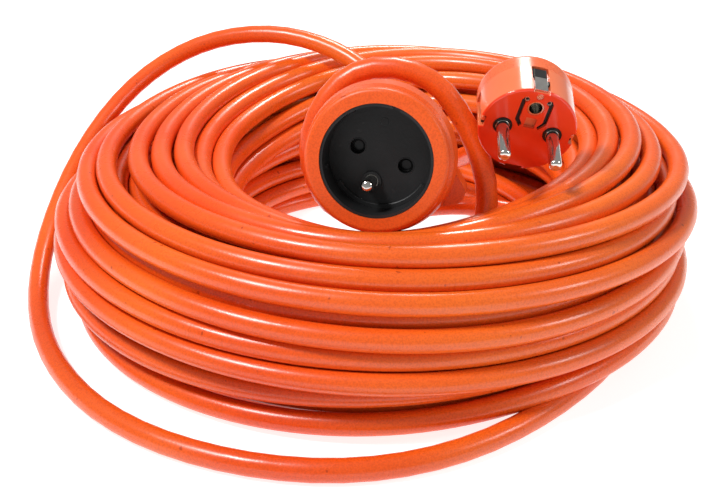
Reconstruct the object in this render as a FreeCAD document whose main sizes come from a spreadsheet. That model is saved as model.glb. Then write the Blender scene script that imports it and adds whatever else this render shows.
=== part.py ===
"""Extension cord: earthed coupler and earthed plug on 25 m of coiled three-core cord.

Millimetres, +Z up.  The cord lies on the plane Z = 0 with the middle of its
footprint at the origin, and -Y is the side that the coupler's face looks to.
"""
import FreeCAD, Part
import Sketcher
import math
import os
import re
from FreeCAD import Placement, Rotation, Vector

DRIVERS = {
    # cord
    "cord_diameter": 8.5,
    "wire_diameter": 2.6,
    # coil
    "coil_x": 5.9,
    "coil_y": 9.3,
    "coil_outer": 138.2,
    "coil_foot_outer": 128,
    "coil_foot_inner": 67,
    "coil_waist": 24,
    "coil_shoulder": 50,
    "coil_shoulder_inner": 88,
    "coil_crest_inner": 99,
    "coil_crest_outer": 121,
    "coil_top": 73,
    # coupler: place and attitude of its face
    "socket_x": 6.6,
    "socket_y": -74.4,
    "socket_z": 86.7,
    "socket_turn": -9,
    "socket_lift": 14.5,
    "socket_roll": -19,
    # coupler: outside shell, depths counted back from the face
    "collar_radius": 26,
    "collar_depth": 5.5,
    "collar_round": 1.8,
    "barrel_front": 27.2,
    "barrel_bulge": 28.2,
    "bulge_depth": 13,
    "barrel_waist": 26.4,
    "waist_depth": 26,
    "barrel_back": 22.4,
    "barrel_depth": 40,
    "tail_radius": 11.5,
    "tail_depth": 58,
    "tab_reach": 29,
    "tab_round": 4.6,
    "tab_drop": -2,
    "tab_front": 13,
    "tab_thick": 13,
    "tab_root": 26,
    # coupler: inside
    "insert_radius": 20.5,
    "insert_gap": 0.1,
    "insert_front": 0.6,
    "recess_radius": 19.5,
    "recess_floor": 15.6,
    "floor_thick": 3,
    "chamber_radius": 19,
    "chamber_depth": 36,
    "cover_thick": 2.4,
    "pole_offset": 9.5,
    "earth_offset": 10,
    "pole_hole": 2.75,
    "pin_radius": 2.4,
    "pin_root": 2.6,
    "earth_boss_radius": 3.6,
    "earth_boss_height": 1.2,
    "running_gap": 0.05,
    "sleeve_outer": 3.4,
    "sleeve_front": 22,
    "earth_pin_length": 14,
    "crimp_radius": 1.7,
    "crimp_end": 43,
    "core_radius_front": 17,
    "core_radius_back": 6,
    # shutter
    "shutter_half_width": 13.4,
    "shutter_low": -3.2,
    "shutter_high": 5.2,
    "shutter_front": 18.9,
    "shutter_thick": 2.5,
    "spring_radius": 2,
    "spring_wire": 0.5,
    "spring_turns": 6,
    # strain relief
    "grip_radius": 8,
    "grip_tip": 5.6,
    "grip_length": 30,
    "grip_seat": 3,
    "groove_width": 1.4,
    "groove_depth": 0.9,
    "groove_first": 4,
    "groove_pitch": 4.6,
    "groove_taper": 0.4,
    # plug: place and attitude of its face
    "plug_x": 62.8,
    "plug_y": -52.6,
    "plug_z": 90.2,
    "plug_turn": -3,
    "plug_lift": -16,
    "plug_roll": -13,
    # plug
    "plug_radius": 18.25,
    "plug_seam": 15,
    "plug_rear": 22,
    "plug_end": 28,
    "plug_end_radius": 12,
    "face_thick": 3.5,
    "plug_wall": 2.05,
    "pin_length": 19,
    "pin_tail": 13,
    "pin_tip_round": 1.6,
    "ring_outer": 3.5,
    "ring_proud": 0.4,
    "earth_sleeve_outer": 3,
    "strip_width": 4.8,
    "strip_thick": 0.8,
    "strip_slot": 6.4,
    "strip_slot_depth": 1.5,
    "strip_front": 1.2,
    "bar_front": 14,
    "guide_width": 5,
    "guide_depth": 2,
    "rivet_radius": 1.2,
    "rivet_offset": 15.2,
    "rivet_depth": 3,
    "face_round": 0.8,
    "dome_round": 4,
    "slot_inner": 4.4,
    "slot_outer": 6,
    "slot_knee": 3.8,
    "slot_low": 0.9,
    "slot_high": 13.2,
    "slot_foot": 3.7,
    "slot_foot_inner": 2.8,
    "slot_end_radius": 1.2,
    "slot_depth": 2,
    "pocket_width": 4.2,
    "pocket_low": 1,
    "pocket_high": 5.6,
    "pin_tail_radius": 1.5,
    "pin_tail_end": 16.6,
    "pin_flange": 3.9,
    "sleeve_sunk": 0.3,
    "bracket_crimp_end": 16.4,
    "plug_wire_level": 20.6,
    "wire_pitch": 2.9,
    "exit_slope": 40,
    "exit_origin": 12,
    "boss_radius": 9.6,
    "boss_reach": 25,
    "boss_bore": 5.6,
    "plug_core_radius": 14.4,
    "plug_core_depth": 22.5,
}

# The cord where it isn't coiled: its route's points, from end to end.
SOCKET_LEAD = [
    (19.9, 9.7, 64.7), (26, 47, 55), (14, 74, 64), (-10, 94, 77), (-44, 110, 81),
    (-80, 107, 76), (-110, 84, 62), (-131, 51, 39), (-140.5, 10, 14), (-134, -37, 4.25),
    (-115, -82, 4.25), (-86, -117, 4.25), (-47, -138.5, 4.25), (-4, -145.5, 4.25),
    (37, -134, 4.25), (75, -104, 4.25), (104, -66, 4.25), (118, -24, 8),
]
NECK_LOOP = [
    (86, -16, 28), (77, 11, 26), (50, 18, 28), (24, 3, 33), (2, -20, 38),
    (-14, -33, 52), (-21.5, -31, 79), (-4, -23, 105.5), (28, -29, 106), (46, -38, 81),
    (52.5, -47, 53), (37, -66, 32), (0, -71, 29), (-36, -63, 29),
]
PLUG_LEAD = [
    (56.3, 4.7, 63.8), (52, 33, 45.5), (38, 60, 30), (12, 80, 23), (-24, 88, 24),
]

doc = FreeCAD.newDocument("extension_cord")
sheet = doc.addObject("Spreadsheet::Sheet", "sheet")
probe = doc.addObject("App::FeaturePython", "probe")
probe.addProperty("App::PropertyFloat", "Number")
nodes = {}


def fill_sheet():
    """One row for each driving dimension: its name, and its value with that alias."""
    for row, (alias, value) in enumerate(DRIVERS.items(), start=1):
        sheet.set(f"A{row}", alias)
        sheet.set(f"B{row}", str(value))
        sheet.setAlias(f"B{row}", alias)
    doc.recompute()


def value(expression):
    """The number that an expression in the sheet's aliases comes to."""
    probe.setExpression("Number", bound(expression))
    probe.recompute()
    return probe.Number


def bound(expression):
    """The expression with each alias written as the sheet's cell."""
    return re.sub(r"[a-z][a-z_]+", lambda word: "sheet." + word.group(0), str(expression))


def bind(thing, **properties):
    """Bind each property, with __ for a dot in its path, to an expression."""
    for path, expression in properties.items():
        thing.setExpression(path.replace("__", "."), bound(expression))
    return thing


def cylinder(name, radius, low, high, x=0, y=0):
    made = doc.addObject("Part::Cylinder", name)
    bind(made, Radius=radius, Height=f"({high}) - ({low})", Placement__Base__x=x,
         Placement__Base__y=y, Placement__Base__z=low)
    return made


def cone(name, low_radius, high_radius, low, high):
    made = doc.addObject("Part::Cone", name)
    bind(made, Radius1=low_radius, Radius2=high_radius, Height=f"({high}) - ({low})",
         Placement__Base__z=low)
    return made


def block(name, x, y, z):
    """A box between the two expressions that x, y and z each give."""
    made = doc.addObject("Part::Box", name)
    bind(made, Length=f"({x[1]}) - ({x[0]})", Width=f"({y[1]}) - ({y[0]})",
         Height=f"({z[1]}) - ({z[0]})", Placement__Base__x=x[0],
         Placement__Base__y=y[0], Placement__Base__z=z[0])
    return made


def prism(name, corners, low, high):
    """A straight-sided solid between two depths, from its corners' expressions."""
    points = [Vector(value(x), value(y), value(low)) for x, y in corners]
    made = doc.addObject("Part::Feature", name)
    outline_face = Part.Face(Part.makePolygon(points + points[:1]))
    made.Shape = outline_face.extrude(Vector(0, 0, value(high) - value(low)))
    return made


def fuse(name, *shapes):
    made = doc.addObject("Part::MultiFuse", name)
    made.Shapes = list(shapes)
    return made


def group(name, *shapes):
    """Separate solids that one node holds."""
    made = doc.addObject("Part::Compound", name)
    made.Links = list(shapes)
    return made


def cut(name, base, *tools):
    made = doc.addObject("Part::Cut", name)
    made.Base = base
    made.Tool = tools[0] if len(tools) == 1 else fuse(name + "_tools", *tools)
    return made


def origin_plane(body, role):
    return next(item for item in body.Origin.OriginFeatures if item.Role == role)


def outline(body, name, role, points):
    """A closed sketch of straight lines through points given as expressions."""
    sketch = body.newObject("Sketcher::SketchObject", name)
    sketch.AttachmentSupport = (origin_plane(body, role), "")
    sketch.MapMode = "FlatFace"
    corners = [Vector(value(x), value(y), 0) for x, y in points]
    count = len(corners)
    for index, corner in enumerate(corners):
        sketch.addGeometry(Part.LineSegment(corner, corners[(index + 1) % count]), False)
    for index, (x, y) in enumerate(points):
        following = (index + 1) % count
        sketch.addConstraint(Sketcher.Constraint("Coincident", index, 2, following, 1))
        for kind, expression in (("DistanceX", x), ("DistanceY", y)):
            dimension = Sketcher.Constraint(kind, -1, 1, index, 1, value(expression))
            number = sketch.addConstraint(dimension)
            sketch.setExpression(f"Constraints[{number}]", bound(expression))
    return sketch


def lathe(name, points):
    """A body turned about Z from an outline of (radius, height) points."""
    body = doc.addObject("PartDesign::Body", name)
    sketch = outline(body, name + "_outline", "XZ_Plane", points)
    turn = body.newObject("PartDesign::Revolution", name + "_turned")
    turn.Profile = sketch
    turn.ReferenceAxis = (sketch, ["V_Axis"])
    turn.Angle = 360
    doc.recompute()
    return body


def rounded(body, radius, pick):
    """Fillet the body's circular edges that pick(edge) chooses."""
    tip = body.Tip
    names = [f"Edge{n}" for n, edge in enumerate(tip.Shape.Edges, start=1) if pick(edge)]
    fillet = body.newObject("PartDesign::Fillet", body.Name + "_round")
    fillet.Base = (tip, names)
    bind(fillet, Radius=radius)
    doc.recompute()
    return body


def circle_at(radius, height):
    """A test for a whole circle of that radius at that height."""
    def test(edge):
        return (edge.Curve.TypeId == "Part::GeomCircle"
                and abs(edge.Curve.Radius - value(radius)) < 0.01
                and abs(edge.Curve.Center.z - value(height)) < 0.01)
    return test


def keep(node, thing, place):
    """Name a finished sub-part and put it in its place."""
    thing.Label = node
    thing.Placement = place
    nodes[node] = thing


def facing(prefix):
    """Placement of a coupler or plug whose own +Z leaves its face."""
    turn, lift, roll = (value(f"{prefix}_{word}") for word in ("turn", "lift", "roll"))
    attitude = (Rotation(Vector(0, 0, 1), turn) * Rotation(Vector(1, 0, 0), 90 - lift)
                * Rotation(Vector(0, 0, 1), roll))
    return Placement(Vector(*(value(f"{prefix}_{axis}") for axis in "xyz")), attitude)


def route(points):
    """Straight runs joined by tangent arcs, and the arcs' radii."""
    corners = [Vector(*point) for point in points]
    edges, radii, start = [], [], corners[0]
    for before, corner, after in zip(corners, corners[1:], corners[2:]):
        back = before - corner
        ahead = after - corner
        turn = math.pi - back.getAngle(ahead)
        reach = 0.45 * min(back.Length, ahead.Length)
        radii.append(reach / math.tan(turn / 2))
        back.normalize()
        ahead.normalize()
        entry = corner + back * reach
        leave = corner + ahead * reach
        inward = (back + ahead).normalize()
        middle = corner + inward * (radii[-1] / math.cos(turn / 2) - radii[-1])
        edges.append(Part.LineSegment(start, entry).toShape())
        edges.append(Part.Arc(entry, middle, leave).toShape())
        start = leave
    edges.append(Part.LineSegment(start, corners[-1]).toShape())
    return Part.Wire(edges), radii


def tube(node, points, diameter, place=Placement()):
    """A round cord along a route, as a closed solid."""
    path, radii = route(points)
    along = Vector(*points[1]) - Vector(*points[0])
    radius = value(diameter) / 2
    ring = Part.Wire(Part.Circle(Vector(*points[0]), along, radius).toShape())
    swept = path.makePipeShell([ring], True, False)
    made = doc.addObject("Part::Feature", node)
    made.Shape = swept
    keep(node, made, place)
    expected = math.pi * radius ** 2 * path.Length
    print(f"{node}: length {path.Length:.1f} mm, volume ratio {swept.Volume / expected:.4f}, "
          f"radii {[round(item, 1) for item in radii]}")


def coil():
    """The outer shape of the coiled length: a round-shouldered ring."""
    ring = lathe("coil_ring", [
        ("coil_foot_inner", "0"),
        ("coil_foot_outer", "0"),
        ("coil_outer", "coil_waist"),
        ("coil_outer", "coil_shoulder"),
        ("coil_crest_outer", "coil_top"),
        ("coil_crest_inner", "coil_top"),
        ("coil_shoulder_inner", "coil_shoulder"),
    ])
    keep("cord_coil", ring, Placement(Vector(value("coil_x"), value("coil_y"), 0), Rotation()))


def grip(node, place):
    """Ribbed, tapered strain relief along -Z, with its seat above Z = 0."""
    shaft = lathe(node + "_shaft", [
        ("0", "grip_seat"),
        ("grip_radius", "grip_seat"),
        ("grip_radius", "0"),
        ("grip_tip", "0 - grip_length"),
        ("0", "0 - grip_length"),
    ])
    ribs = []
    for step in range(5):
        high = f"0 - groove_first - {step} * groove_pitch"
        low = high + " - groove_width"
        core = f"grip_radius - groove_depth - {step + 1} * groove_taper"
        outer = cylinder(f"{node}_groove_{step}", "grip_radius + 2", low, high)
        inner = cylinder(f"{node}_core_{step}", core, low, high)
        ribs.append(cut(f"{node}_ring_{step}", outer, inner))
    keep(node, cut(node, shaft, *ribs), place)


def tangent_point(start, centre, radius, side):
    """Where the line from start touches the circle, on the side of +Y or -Y."""
    gap = centre - start
    lean = math.asin(radius / gap.Length)
    heading = math.atan2(gap.y, gap.x) + side * lean
    reach = math.sqrt(gap.Length ** 2 - radius ** 2)
    return start + Vector(math.cos(heading), math.sin(heading), 0) * reach


def tab_outline():
    """Finger tab seen from the face: two lines tangent to its round tip."""
    reach, tip, drop = value("tab_reach"), value("tab_round"), value("tab_drop")
    root = value("tab_root")
    centre = Vector(reach, drop, 0)
    top = Vector(0, root, 0)
    foot = Vector(0, -root, 0)
    upper = tangent_point(top, centre, tip, 1)
    lower = tangent_point(foot, centre, tip, -1)
    nose = centre + Vector(tip, 0, 0)
    edges = [Part.LineSegment(top, upper).toShape(), Part.Arc(upper, nose, lower).toShape(),
             Part.LineSegment(lower, foot).toShape(), Part.LineSegment(foot, top).toShape()]
    return Part.Face(Part.Wire(edges))


def socket_housing(place):
    shell = lathe("socket_shell", [
        ("0", "0"),
        ("collar_radius", "0"),
        ("collar_radius", "0 - collar_depth"),
        ("barrel_front", "0 - collar_depth - 1"),
        ("barrel_bulge", "0 - bulge_depth"),
        ("barrel_waist", "0 - waist_depth"),
        ("barrel_back", "0 - barrel_depth"),
        ("tail_radius", "0 - tail_depth"),
        ("0", "0 - tail_depth"),
    ])
    rounded(shell, "collar_round", circle_at("collar_radius", "0"))
    tab = doc.addObject("Part::Feature", "finger_tab")
    flat = tab_outline().extrude(Vector(0, 0, -value("tab_thick")))
    flat.translate(Vector(0, 0, -value("tab_front")))
    tab.Shape = flat
    hollow = fuse(
        "socket_hollow",
        cylinder("insert_pocket", "insert_radius + insert_gap", "0 - chamber_depth - cover_thick", "1"),
        cone("wire_space", "core_radius_back", "core_radius_front", "0 - tail_depth + grip_seat",
             "0 - chamber_depth - cover_thick"),
        cylinder("grip_seat_hole", "grip_radius + insert_gap", "0 - tail_depth - 1",
                 "0 - tail_depth + grip_seat"),
    )
    outside = fuse("socket_outside", shell, tab)
    keep("socket_housing", cut("socket_housing", outside, hollow), place)


def socket_insert(place):
    floor_back = "0 - recess_floor - floor_thick"
    cup = lathe("insert_cup", [
        ("recess_radius", "0 - insert_front"),
        ("insert_radius", "0 - insert_front"),
        ("insert_radius", "0 - chamber_depth"),
        ("chamber_radius", "0 - chamber_depth"),
        ("chamber_radius", floor_back),
        ("0", floor_back),
        ("0", "0 - recess_floor"),
        ("recess_radius", "0 - recess_floor"),
    ])
    boss_top = "0 - recess_floor + earth_boss_height"
    boss = cylinder("earth_boss", "earth_boss_radius", floor_back, boss_top, "0", "0 - earth_offset")
    holes = [
        cylinder("hole_live", "pole_hole", floor_back + " - 1", "0 - recess_floor + 1", "pole_offset"),
        cylinder("hole_neutral", "pole_hole", floor_back + " - 1", "0 - recess_floor + 1",
                 "0 - pole_offset"),
        cylinder("hole_earth", "pin_root + running_gap", floor_back + " - 1", boss_top + " + 1",
                 "0", "0 - earth_offset"),
        block("rim_notch", ("0 - 1.4", "1.4"), ("recess_radius - 1", "insert_radius + 1"),
              ("0 - insert_front - 1.6", "1")),
    ]
    keep("socket_insert", cut("socket_insert", fuse("insert_body", cup, boss), *holes), place)


def socket_cover(place):
    """Rear cover of the contact chamber, with a hole for each crimp barrel."""
    disc = cylinder("cover_disc", "insert_radius", "0 - chamber_depth - cover_thick",
                    "0 - chamber_depth")
    low = "0 - chamber_depth - cover_thick - 1"
    high = "0 - chamber_depth + 1"
    holes = [
        cylinder("cover_live", "crimp_radius + insert_gap", low, high, "pole_offset"),
        cylinder("cover_neutral", "crimp_radius + insert_gap", low, high, "0 - pole_offset"),
        cylinder("cover_earth", "crimp_radius + insert_gap", low, high, "0", "0 - earth_offset"),
    ]
    keep("socket_inner_cover", cut("socket_inner_cover", disc, *holes), place)


def contact_sleeve(node, x, place):
    """Line contact that grips a plug's pin, with its crimp barrel behind."""
    back = "0 - chamber_depth + 0.3"
    barrel = cylinder(node + "_barrel", "sleeve_outer", back, "0 - sleeve_front", x)
    crimp = cylinder(node + "_crimp", "crimp_radius", "0 - crimp_end", back, x)
    bore = cylinder(node + "_bore", "pin_radius + running_gap", back + " + 1",
                    "0 - sleeve_front + 1", x)
    keep(node, cut(node, fuse(node + "_body", barrel, crimp), bore), place)


def socket_earth_pin(place):
    """Earth pin that stands out of the recess's floor, with a round nose.

    Its root, which the insert holds, is a little thicker than its free end.
    """
    tip = "0 - recess_floor + earth_pin_length"
    free = "0 - recess_floor + earth_boss_height"
    back = "0 - chamber_depth + 0.3"
    flange = "0 - recess_floor - floor_thick"
    rod = lathe("earth_rod", [
        ("0", back),
        ("pin_root", back),
        ("pin_root", free),
        ("pin_radius", free),
        ("pin_radius", tip),
        ("0", tip),
    ])
    rounded(rod, "pin_tip_round", circle_at("pin_radius", tip))
    collar = cylinder("earth_collar", "sleeve_outer", flange + " - 2", flange)
    crimp = cylinder("earth_crimp", "crimp_radius", "0 - crimp_end", back)
    whole = fuse("socket_earth_pin", rod, collar, crimp)
    shift = Placement(Vector(0, -value("earth_offset"), 0), Rotation())
    keep("socket_earth_pin", whole, place * shift)


def shutter(place):
    """Plate behind the line holes, which a pair of pins pushes aside."""
    plate = block("shutter_plate", ("0 - shutter_half_width", "shutter_half_width"),
                  ("shutter_low", "shutter_high"),
                  ("0 - shutter_front - shutter_thick", "0 - shutter_front"))
    keep("socket_shutter", group("socket_shutter", plate), place)


def shutter_spring(place):
    """Compression spring between the shutter's edge and the chamber's wall."""
    room = value("chamber_radius") - value("shutter_high") - 0.8
    wire = value("spring_wire") / 2
    length = room - 2 * wire
    coil_path = Part.makeHelix(length / value("spring_turns"), length, value("spring_radius"))
    start = Vector(value("spring_radius"), 0, 0)
    section = Part.Wire(Part.Circle(start, Vector(0, 1, 0), wire).toShape())
    spring = doc.addObject("Part::Feature", "shutter_spring")
    spring.Shape = Part.Wire(coil_path.Edges).makePipeShell([section], True, True)
    depth = -(value("shutter_front") + value("shutter_thick") / 2)
    stand = Placement(Vector(0, value("shutter_high") + 0.3 + wire, depth - 2.2),
                      Rotation(Vector(1, 0, 0), -90))
    keep("shutter_spring", spring, place * stand)


def socket_wires(place):
    """The three cores between the crimps and the strain relief."""
    pole, earth = value("pole_offset"), value("earth_offset")
    crimp, seat = -value("crimp_end"), value("grip_seat") - value("tail_depth")
    spread = 2.1
    for node, x, y, to_x, to_y in (
            ("socket_live_wire", pole, 0, spread, spread / 2),
            ("socket_neutral_wire", -pole, 0, -spread, spread / 2),
            ("socket_earth_wire", 0, -earth, 0, -spread)):
        points = [(x, y, crimp), (x, y, crimp - 3.2), (to_x, to_y, seat + 3.4), (to_x, to_y, seat)]
        tube(node, points, "wire_diameter", place)


def half_width(size):
    """The two expressions for a span of that size centred on zero."""
    return f"0 - {size} * 0.5", f"{size} * 0.5"


def plug_front(place):
    """Front cap of the plug: face, side wall, guide notches and contact slots."""
    shell = lathe("plug_cap", [
        ("0", "0"),
        ("plug_radius", "0"),
        ("plug_radius", "0 - plug_seam"),
        ("plug_radius - plug_wall", "0 - plug_seam"),
        ("plug_radius - plug_wall", "0 - face_thick"),
        ("0", "0 - face_thick"),
    ])
    rounded(shell, "face_round", circle_at("plug_radius", "0"))
    low, high = "0 - plug_seam - 1", "1"
    right = ("plug_radius - guide_depth", "plug_radius + 1")
    left = ("0 - plug_radius - 1", "0 - plug_radius + guide_depth")
    top = ("plug_radius - strip_slot_depth", "plug_radius + 1")
    foot = ("0 - plug_radius - 1", "0 - plug_radius + strip_slot_depth")
    tools = [
        cylinder("front_live_hole", "ring_outer + insert_gap", low, high, "pole_offset"),
        cylinder("front_neutral_hole", "ring_outer + insert_gap", low, high, "0 - pole_offset"),
        cylinder("front_earth_hole", "earth_sleeve_outer + insert_gap", low, high, "0",
                 "earth_offset"),
        cylinder("rivet_hole", "rivet_radius + insert_gap", "0 - rivet_depth", high, "0",
                 "rivet_offset"),
        block("guide_right", right, half_width("guide_width"), (low, high)),
        block("guide_left", left, half_width("guide_width"), (low, high)),
        block("strip_slot_top", half_width("strip_slot"), top, (low, high)),
        block("strip_slot_foot", half_width("strip_slot"), foot, (low, high)),
        block("bar_slot", half_width("strip_slot"), ("0 - plug_radius - 1", "plug_radius + 1"),
              (low, "0 - bar_front + insert_gap")),
        block("face_pocket", half_width("pocket_width"), ("pocket_low", "pocket_high"),
              ("0 - slot_depth", high)),
    ]
    for side, sign in (("right", ""), ("left", "0 - ")):
        corners = [(sign + x, y) for x, y in (
            ("slot_inner", "slot_high"), ("slot_outer", "slot_high"), ("slot_outer", "slot_knee"),
            ("slot_foot", "slot_low"), ("slot_foot_inner", "slot_low + 1.1"),
            ("slot_inner", "slot_knee + 0.7"))]
        tools.append(prism(f"face_slot_{side}", corners, "0 - slot_depth", high))
        tools.append(cylinder(f"face_slot_end_{side}", "slot_end_radius", "0 - slot_depth", high,
                              sign + "slot_inner", "slot_high"))
    keep("plug_front", cut("plug_front", shell, *tools), place)


def exit_cylinder(name, radius, start, stop):
    """A cylinder along the cord's way out of the plug, between two distances."""
    made = doc.addObject("Part::Cylinder", name)
    bind(made, Radius=radius, Height=f"({stop}) - ({start})")
    made.Placement = plug_exit() * Placement(Vector(0, 0, -value(stop)), Rotation())
    return made


def plug_exit():
    """The cord's way out of the plug: its -Z runs down and back."""
    tilt = Rotation(Vector(1, 0, 0), value("exit_slope") - 90)
    return Placement(Vector(0, 0, -value("exit_origin")), tilt)


def plug_rear(place):
    """Moulded rear of the plug, with the boss that the cord leaves by."""
    dome = lathe("plug_dome", [
        ("0", "0 - plug_seam"),
        ("plug_radius", "0 - plug_seam"),
        ("plug_radius", "0 - plug_rear"),
        ("plug_end_radius", "0 - plug_end"),
        ("0", "0 - plug_end"),
    ])
    rounded(dome, "dome_round", circle_at("plug_radius", "0 - plug_rear"))
    outside = fuse("plug_outside", dome, exit_cylinder("exit_boss", "boss_radius", "6", "boss_reach"))
    tools = [
        cylinder("boss_trim", "plug_radius + 1", "0 - plug_seam", "1"),
        cylinder("plug_chamber", "plug_core_radius", "0 - plug_core_depth", "0 - plug_seam + 1"),
        exit_cylinder("exit_bore", "boss_bore", "8", "boss_reach"),
        exit_cylinder("exit_seat", "grip_radius + insert_gap", "boss_reach - grip_seat",
                      "boss_reach + 1"),
    ]
    keep("plug_rear", cut("plug_rear", outside, *tools), place)


def plug_pin(node, x, place):
    """Solid round pin, with a thicker root and the flange that holds it behind the face."""
    rod = lathe(node + "_rod", [
        ("0", "0 - pin_tail_end"),
        ("pin_tail_radius", "0 - pin_tail_end"),
        ("pin_tail_radius", "0 - pin_tail"),
        ("pin_root", "0 - pin_tail"),
        ("pin_root", "0 - face_thick - 2"),
        ("pin_flange", "0 - face_thick - 2"),
        ("pin_flange", "0 - face_thick - insert_gap"),
        ("pin_root", "0 - face_thick - insert_gap"),
        ("pin_root", "ring_proud"),
        ("pin_radius", "ring_proud"),
        ("pin_radius", "pin_length"),
        ("0", "pin_length"),
    ])
    rounded(rod, "pin_tip_round", circle_at("pin_radius", "pin_length"))
    keep(node, rod, place * Placement(Vector(value(x), 0, 0), Rotation()))


def plug_rings(place):
    """Black collar round the root of each pin."""
    rings = []
    for side, x in (("live", "pole_offset"), ("neutral", "0 - pole_offset")):
        outer = cylinder(f"ring_{side}_outer", "ring_outer", "0 - face_thick", "ring_proud", x)
        inner = cylinder(f"ring_{side}_inner", "pin_root + running_gap", "0 - face_thick - 1",
                         "ring_proud + 1", x)
        rings.append(cut(f"ring_{side}", outer, inner))
    keep("plug_pin_collars", group("plug_pin_collars", *rings), place)


def plug_earth(place):
    """Earth bracket: a strip on each side of the plug, joined behind the face."""
    width = half_width("strip_width")
    out = "plug_radius - strip_slot_depth + insert_gap + strip_thick"
    inner = "plug_radius - strip_slot_depth + insert_gap"
    behind = ("0 - bar_front - strip_thick", "0 - bar_front")
    bar = block("earth_bar", width, (f"0 - ({out})", out), behind)
    top = block("strip_top", width, (inner, out), (behind[0], "0 - strip_front"))
    foot = block("strip_foot", width, (f"0 - ({out})", f"0 - ({inner})"),
                 (behind[0], "0 - strip_front"))
    crimp = cylinder("bracket_crimp", "crimp_radius", "0 - bracket_crimp_end", behind[0], "0",
                     "earth_offset")
    keep("plug_earth_bracket", fuse("plug_earth_bracket", bar, top, foot, crimp), place)
    tube_outer = cylinder("earth_tube", "earth_sleeve_outer", "0 - bar_front + running_gap",
                          "0 - sleeve_sunk", "0", "earth_offset")
    tube_inner = cylinder("earth_bore", "pin_radius + running_gap", "0 - bar_front - 1", "1", "0",
                          "earth_offset")
    keep("plug_earth_sleeve", cut("plug_earth_sleeve", tube_outer, tube_inner), place)
    rivet = cylinder("rivet_head", "rivet_radius", "0 - rivet_depth + insert_gap",
                     "0 - sleeve_sunk", "0", "rivet_offset")
    keep("plug_earth_rivet", group("plug_earth_rivet", rivet), place)


def plug_wires(place):
    """The three cores between the pins' tails and the strain relief."""
    level = -value("plug_wire_level")
    end = plug_exit().multVec(Vector(0, 0, value("grip_seat") - value("boss_reach")))
    bend_y = end.y + (end.z - level) * -1 / math.tan(math.radians(value("exit_slope")))
    pole, earth = value("pole_offset"), value("earth_offset")
    tail, crimp = -value("pin_tail_end"), -value("bracket_crimp_end")
    for node, x, y, z, across in (("plug_live_wire", pole, 0, tail, value("wire_pitch")),
                                  ("plug_neutral_wire", -pole, 0, tail, -value("wire_pitch")),
                                  ("plug_earth_wire", 0, earth, crimp, 0)):
        points = [(x, y, z), (x, y, level), (across, bend_y, level), (across, end.y, end.z)]
        tube(node, points, "wire_diameter", place)


def write_parts():
    """Check every object and shape, then write one STEP file for each node."""
    doc.recompute()
    faults = [item.Name for item in doc.Objects if {"Invalid", "Error"} & set(item.State)]
    faults += [node for node, thing in nodes.items()
               if thing.Shape.isNull() or not thing.Shape.isValid()]
    if faults:
        raise RuntimeError(f"not built: {faults}")
    os.makedirs("parts", exist_ok=True)
    whole = FreeCAD.BoundBox()
    for node, thing in nodes.items():
        thing.Shape.exportStep(f"parts/{node}.step")
        whole.add(thing.Shape.BoundBox)
        print(f"{node}: {thing.Shape.Volume / 1000:.2f} cm3, solids {len(thing.Shape.Solids)}")
    print("X", round(whole.XMin, 2), round(whole.XMax, 2), "Y", round(whole.YMin, 2),
          round(whole.YMax, 2), "Z", round(whole.ZMin, 2), round(whole.ZMax, 2))


def build_socket():
    place = facing("socket")
    socket_housing(place)
    socket_insert(place)
    socket_cover(place)
    contact_sleeve("socket_live_sleeve", "pole_offset", place)
    contact_sleeve("socket_neutral_sleeve", "0 - pole_offset", place)
    socket_earth_pin(place)
    shutter(place)
    shutter_spring(place)
    socket_wires(place)
    tail = Placement(Vector(0, 0, -value("tail_depth")), Rotation())
    grip("socket_cord_grip", place * tail)


def build_plug():
    place = facing("plug")
    plug_front(place)
    plug_rear(place)
    plug_pin("plug_live_pin", "pole_offset", place)
    plug_pin("plug_neutral_pin", "0 - pole_offset", place)
    plug_rings(place)
    plug_earth(place)
    plug_wires(place)
    boss = Placement(Vector(0, 0, -value("boss_reach")), Rotation())
    grip("plug_cord_grip", place * plug_exit() * boss)


def build_cord():
    coil()
    tube("cord_socket_lead", SOCKET_LEAD, "cord_diameter")
    tube("cord_neck_loop", NECK_LOOP, "cord_diameter")
    tube("cord_plug_lead", PLUG_LEAD, "cord_diameter")


fill_sheet()
build_socket()
build_plug()
build_cord()
write_parts()
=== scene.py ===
"""Looks of the extension cord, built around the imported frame."""
import math

import bmesh
import bpy
import numpy as np
from mathutils import Matrix, Vector


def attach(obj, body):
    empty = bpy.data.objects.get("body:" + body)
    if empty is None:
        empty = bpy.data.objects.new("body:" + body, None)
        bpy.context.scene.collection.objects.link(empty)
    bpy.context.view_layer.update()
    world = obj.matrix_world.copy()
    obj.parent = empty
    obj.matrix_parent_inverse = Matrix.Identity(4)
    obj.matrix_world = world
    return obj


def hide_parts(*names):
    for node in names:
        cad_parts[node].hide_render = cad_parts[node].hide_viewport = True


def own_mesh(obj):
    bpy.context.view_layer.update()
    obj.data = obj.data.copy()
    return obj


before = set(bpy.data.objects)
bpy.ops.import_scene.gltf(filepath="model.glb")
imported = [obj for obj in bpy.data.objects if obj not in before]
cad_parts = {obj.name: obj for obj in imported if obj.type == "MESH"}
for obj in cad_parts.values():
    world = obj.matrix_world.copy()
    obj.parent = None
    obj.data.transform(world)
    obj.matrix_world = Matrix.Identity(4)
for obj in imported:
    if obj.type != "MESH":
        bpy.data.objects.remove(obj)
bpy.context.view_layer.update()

ROOT = "cord_set"
MM = 0.001

# ---------------------------------------------------------------- camera
CAMERA_AT = (1.0, -451.5, 243.0)  # mm
CAMERA_TILT = 27.0  # degrees below level
LENS = 57.5


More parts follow.
